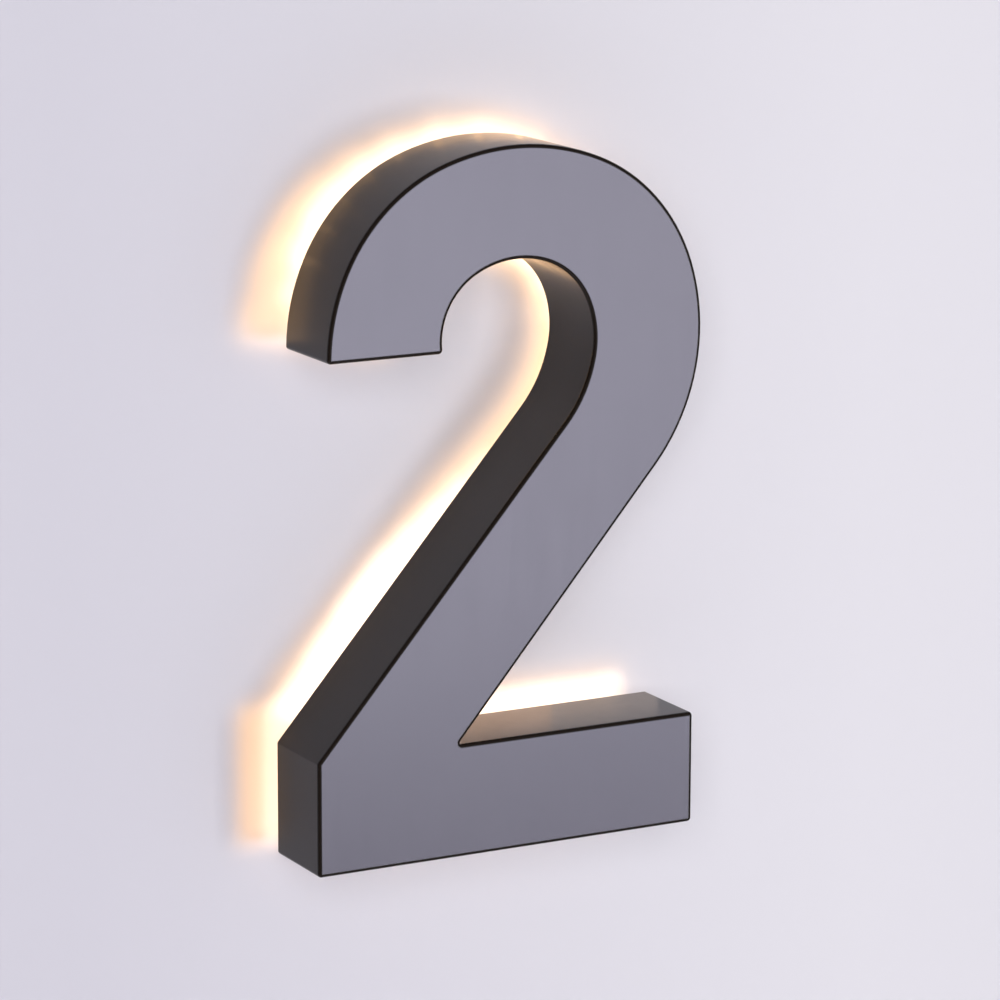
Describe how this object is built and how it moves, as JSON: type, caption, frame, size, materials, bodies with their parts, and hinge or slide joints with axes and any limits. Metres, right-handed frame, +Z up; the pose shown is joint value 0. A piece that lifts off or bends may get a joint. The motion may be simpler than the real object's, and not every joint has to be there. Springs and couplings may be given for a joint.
{
  "type": "illuminated house number sign",
  "caption": "Halo-lit house number, the figure 2, as a shallow metal can that stands off a wall in front of a lit opal panel, with lock screws below and wall studs behind.",
  "frame": {"origin": "on the wall, at the middle of the rectangle of four wall studs", "axes": "+Z up along the wall, +Y into the wall along the studs, -Y towards the viewer, +X to the viewer's right"},
  "size_m": [0.1207, 0.063, 0.1999],
  "materials": {
    "face_satin": "satin warm grey enamel on flat sheet",
    "black_gloss": "black, semi-gloss outside; white enamel inside the can",
    "white_enamel": "white enamel",
    "zinc_steel": "zinc plated",
    "block_aluminium": "milled",
    "spacer_aluminium": "turned",
    "opal_acrylic": "opal, lit warm from behind its inner face",
    "black_rubber": "matt",
    "module_white": "moulded",
    "lens_clear": "moulded clear",
    "board_white": "solder-masked board with warm white chips",
    "foam_grey": "closed-cell foam",
    "block_plastic": "moulded",
    "brass": "turned",
    "wire_red": "insulation",
    "wire_black": "insulation"
  },
  "bodies": {
    "wall_base": {"back_panel": "opal_acrylic", "block_screws": "zinc_steel", "cable_grommet": "black_rubber", "clamp_block_1": "block_aluminium", "clamp_block_2": "block_aluminium", "clamp_block_3": "block_aluminium", "led_boards": "board_white", "led_housing_1": "module_white", "led_housing_10": "module_white", "led_housing_2": "module_white", "led_housing_3": "module_white", "led_housing_4": "module_white", "led_housing_5": "module_white", "led_housing_6": "module_white", "led_housing_7": "module_white", "led_housing_8": "module_white", "led_housing_9": "module_white", "led_lens_1": "lens_clear", "led_lens_10": "lens_clear", "led_lens_2": "lens_clear", "led_lens_3": "lens_clear", "led_lens_4": "lens_clear", "led_lens_5": "lens_clear", "led_lens_6": "lens_clear", "led_lens_7": "lens_clear", "led_lens_8": "lens_clear", "led_lens_9": "lens_clear", "module_tapes": "foam_grey", "spacer_1": "spacer_aluminium", "spacer_2": "spacer_aluminium", "spacer_3": "spacer_aluminium", "spacer_4": "spacer_aluminium", "stud_nuts": "zinc_steel", "stud_washers": "zinc_steel", "terminal_block": "block_plastic", "terminal_screws": "brass", "wall_seals": "black_rubber", "wall_stud_1": "zinc_steel", "wall_stud_2": "zinc_steel", "wall_stud_3": "zinc_steel", "wall_stud_4": "zinc_steel", "wire_black_foot": "wire_black", "wire_black_stroke": "wire_black", "wire_red_foot": "wire_red", "wire_red_stroke": "wire_red"},
    "shell": {"face_plate": "face_satin", "face_tabs": "white_enamel", "return_base": "black_gloss", "return_inner": "black_gloss", "return_outer": "black_gloss", "return_terminal": "black_gloss", "weld_nuts": "zinc_steel"},
    "lock_1": {"lock_screw_1": "zinc_steel"},
    "lock_2": {"lock_screw_2": "zinc_steel"},
    "lock_3": {"lock_screw_3": "zinc_steel"}
  },
  "joints": [
    {"name": "shell_pull", "type": "slide", "parent": "wall_base", "child": "shell", "axis": [0, -1, 0], "range_m": [0, 0.04]},
    {"name": "lock_1_back_out", "type": "slide", "parent": "shell", "child": "lock_1", "axis": [0, 0, -1], "range_m": [0, 0.002]},
    {"name": "lock_2_back_out", "type": "slide", "parent": "shell", "child": "lock_2", "axis": [0, 0, -1], "range_m": [0, 0.002]},
    {"name": "lock_3_back_out", "type": "slide", "parent": "shell", "child": "lock_3", "axis": [0, 0, -1], "range_m": [0, 0.002]}
  ]
}
